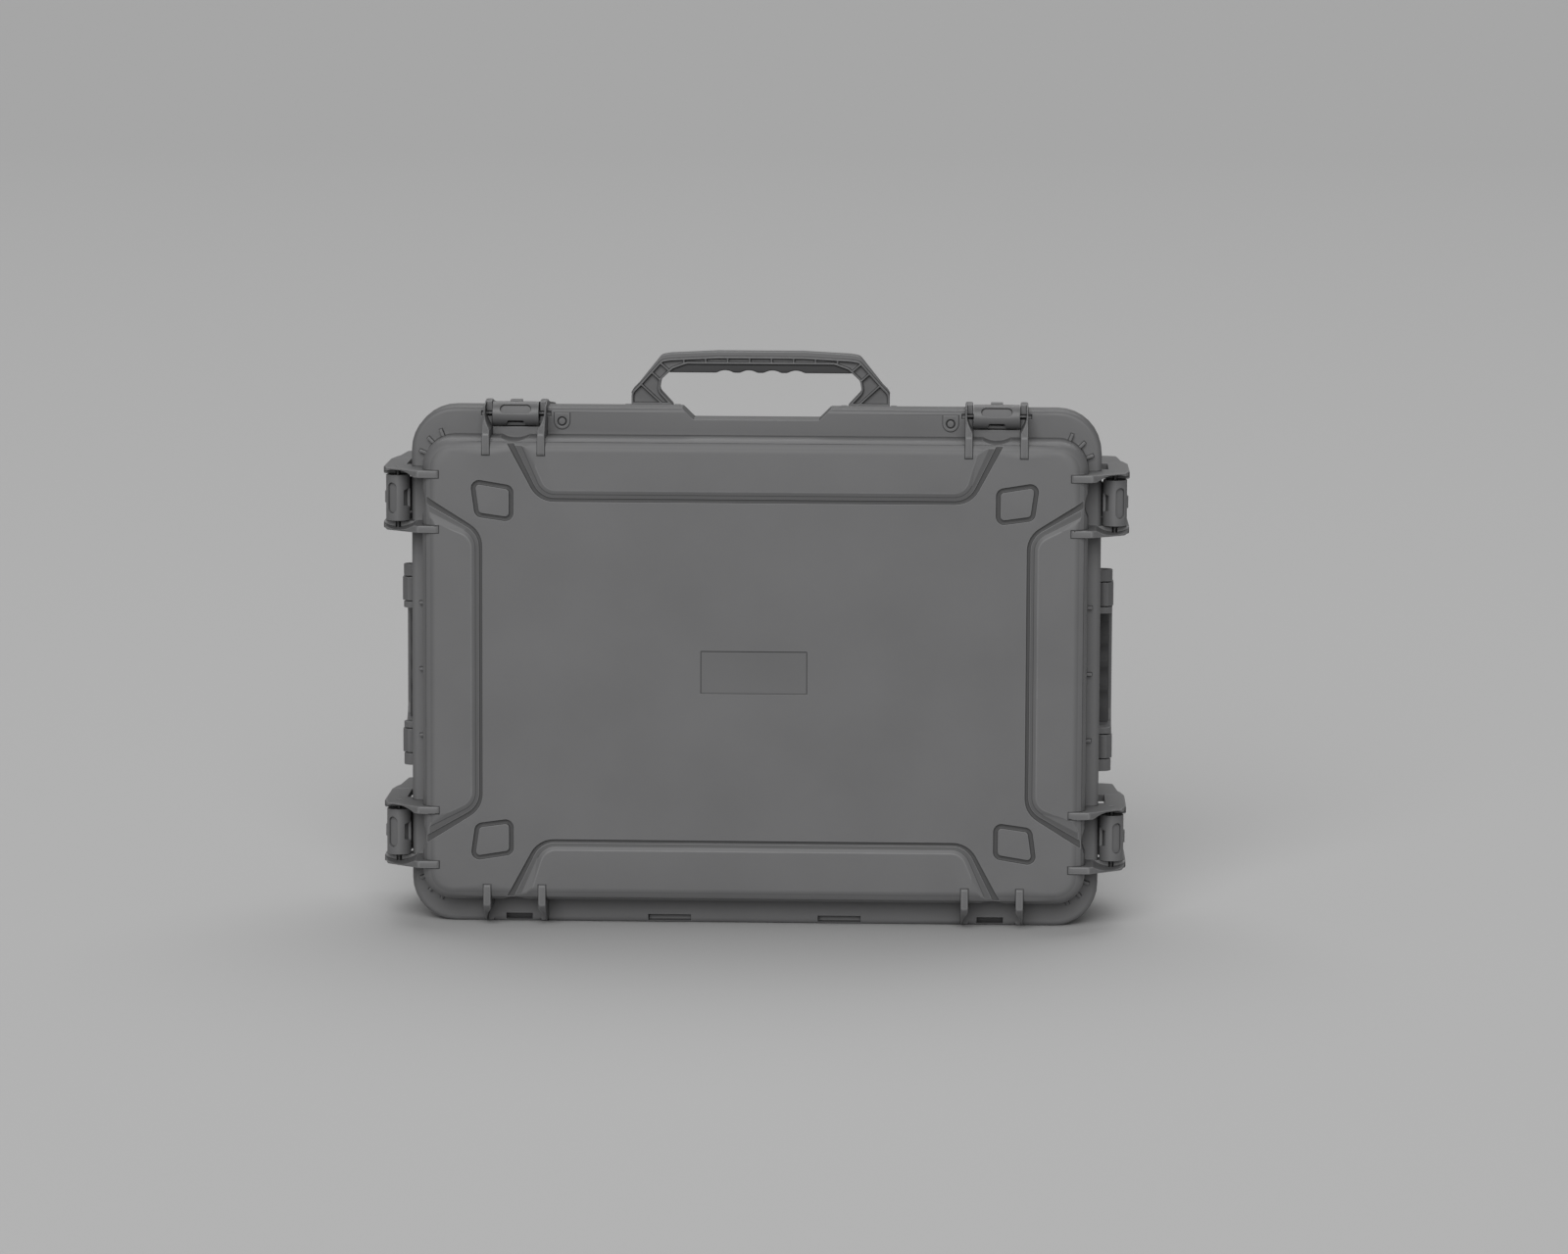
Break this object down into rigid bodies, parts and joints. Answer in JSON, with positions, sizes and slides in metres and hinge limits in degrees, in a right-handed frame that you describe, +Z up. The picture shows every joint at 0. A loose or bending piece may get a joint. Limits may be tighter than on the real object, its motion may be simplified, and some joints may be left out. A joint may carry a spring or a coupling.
{
  "type": "laptop hard case",
  "caption": "Upright moulded hard case for laptops with a hinged lid, side and top latches between guard fins, and folding carry handles.",
  "frame": {"origin": "on the floor, at the middle of the width and of the depth", "axes": "+X to the right across the case, +Y from the lid face to the back, +Z up"},
  "size_m": [0.746, 0.258, 0.5676],
  "materials": {
    "shell": "fine satin grain",
    "latch": "fine satin grain",
    "handle": "fine satin grain",
    "grip": "matte",
    "seal": "matte",
    "foam": "open-cell foam",
    "steel": "brushed",
    "valve": "satin"
  },
  "bodies": {
    "base": {"base_shell": "shell", "base_foam": "foam", "top_handle_pins": "steel", "left_handle_pins": "steel", "right_handle_pins": "steel", "valve_body": "valve", "valve_seal": "seal", "valve_nut": "valve"},
    "lid": {"lid_shell": "shell", "lid_seal": "seal", "lid_foam": "foam", "hinge_pins": "steel", "latch_pins": "steel"},
    "latch_top_left": {"lever_top_left": "latch", "hook_pin_top_left": "steel"},
    "clasp_top_left": {"hook_top_left": "latch"},
    "latch_top_right": {"lever_top_right": "latch", "hook_pin_top_right": "steel"},
    "clasp_top_right": {"hook_top_right": "latch"},
    "latch_left_upper": {"lever_left_upper": "latch", "hook_pin_left_upper": "steel"},
    "clasp_left_upper": {"hook_left_upper": "latch"},
    "latch_left_lower": {"lever_left_lower": "latch", "hook_pin_left_lower": "steel"},
    "clasp_left_lower": {"hook_left_lower": "latch"},
    "latch_right_upper": {"lever_right_upper": "latch", "hook_pin_right_upper": "steel"},
    "clasp_right_upper": {"hook_right_upper": "latch"},
    "latch_right_lower": {"lever_right_lower": "latch", "hook_pin_right_lower": "steel"},
    "clasp_right_lower": {"hook_right_lower": "latch"},
    "top_handle": {"top_handle": "handle", "top_handle_grip": "grip"},
    "left_handle": {"left_handle": "handle", "left_handle_grip": "grip"},
    "right_handle": {"right_handle": "handle", "right_handle_grip": "grip"},
    "valve_knob": {"valve_knob": "latch"}
  },
  "joints": [
    {"name": "lid_hinge", "type": "hinge", "parent": "base", "child": "lid", "pos_m": [0, -0.064, 0.0055], "axis": [1, 0, 0], "range_deg": [0, 100]},
    {"name": "latch_top_left_hinge", "type": "hinge", "parent": "lid", "child": "latch_top_left", "pos_m": [-0.24, -0.084, 0.5145], "axis": [1, 0, 0], "range_deg": [0, 75]},
    {"name": "clasp_top_left_hinge", "type": "hinge", "parent": "latch_top_left", "child": "clasp_top_left", "pos_m": [-0.24, -0.077, 0.509], "axis": [1, 0, 0], "range_deg": [-22.5, 0]},
    {"name": "latch_top_right_hinge", "type": "hinge", "parent": "lid", "child": "latch_top_right", "pos_m": [0.24, -0.084, 0.5145], "axis": [1, 0, 0], "range_deg": [0, 75]},
    {"name": "clasp_top_right_hinge", "type": "hinge", "parent": "latch_top_right", "child": "clasp_top_right", "pos_m": [0.24, -0.077, 0.509], "axis": [1, 0, 0], "range_deg": [-22.5, 0]},
    {"name": "latch_left_upper_hinge", "type": "hinge", "parent": "lid", "child": "latch_left_upper", "pos_m": [-0.3585, -0.084, 0.4295], "axis": [0, 0, 1], "range_deg": [0, 75]},
    {"name": "clasp_left_upper_hinge", "type": "hinge", "parent": "latch_left_upper", "child": "clasp_left_upper", "pos_m": [-0.353, -0.077, 0.4295], "axis": [0, 0, 1], "range_deg": [-22.5, 0]},
    {"name": "latch_left_lower_hinge", "type": "hinge", "parent": "lid", "child": "latch_left_lower", "pos_m": [-0.3585, -0.084, 0.0915], "axis": [0, 0, 1], "range_deg": [0, 75]},
    {"name": "clasp_left_lower_hinge", "type": "hinge", "parent": "latch_left_lower", "child": "clasp_left_lower", "pos_m": [-0.353, -0.077, 0.0915], "axis": [0, 0, 1], "range_deg": [-22.5, 0]},
    {"name": "latch_right_upper_hinge", "type": "hinge", "parent": "lid", "child": "latch_right_upper", "pos_m": [0.3585, -0.084, 0.4295], "axis": [0, 0, -1], "range_deg": [0, 75]},
    {"name": "clasp_right_upper_hinge", "type": "hinge", "parent": "latch_right_upper", "child": "clasp_right_upper", "pos_m": [0.353, -0.077, 0.4295], "axis": [0, 0, -1], "range_deg": [-22.5, 0]},
    {"name": "latch_right_lower_hinge", "type": "hinge", "parent": "lid", "child": "latch_right_lower", "pos_m": [0.3585, -0.084, 0.0915], "axis": [0, 0, -1], "range_deg": [0, 75]},
    {"name": "clasp_right_lower_hinge", "type": "hinge", "parent": "latch_right_lower", "child": "clasp_right_lower", "pos_m": [0.353, -0.077, 0.0915], "axis": [0, 0, -1], "range_deg": [-22.5, 0]},
    {"name": "top_handle_hinge", "type": "hinge", "parent": "base", "child": "top_handle", "pos_m": [0, 0.048, 0.5045], "axis": [-1, 0, 0], "range_deg": [0, 90]},
    {"name": "left_handle_hinge", "type": "hinge", "parent": "base", "child": "left_handle", "pos_m": [-0.35, -0.028, 0.2535], "axis": [0, 0, 1], "range_deg": [0, 95]},
    {"name": "right_handle_hinge", "type": "hinge", "parent": "base", "child": "right_handle", "pos_m": [0.35, -0.028, 0.2535], "axis": [0, 0, -1], "range_deg": [0, 95]},
    {"name": "valve_knob_hinge", "type": "hinge", "parent": "base", "child": "valve_knob", "pos_m": [0.176, 0.046, 0.4985], "axis": [0, 0, 1], "range_deg": [0, 180]}
  ],
  "couplings": [
    {"joint": "clasp_top_left_hinge", "follows": "latch_top_left_hinge", "ratio": -0.3},
    {"joint": "clasp_top_right_hinge", "follows": "latch_top_right_hinge", "ratio": -0.3},
    {"joint": "clasp_left_upper_hinge", "follows": "latch_left_upper_hinge", "ratio": -0.3},
    {"joint": "clasp_left_lower_hinge", "follows": "latch_left_lower_hinge", "ratio": -0.3},
    {"joint": "clasp_right_upper_hinge", "follows": "latch_right_upper_hinge", "ratio": -0.3},
    {"joint": "clasp_right_lower_hinge", "follows": "latch_right_lower_hinge", "ratio": -0.3}
  ]
}
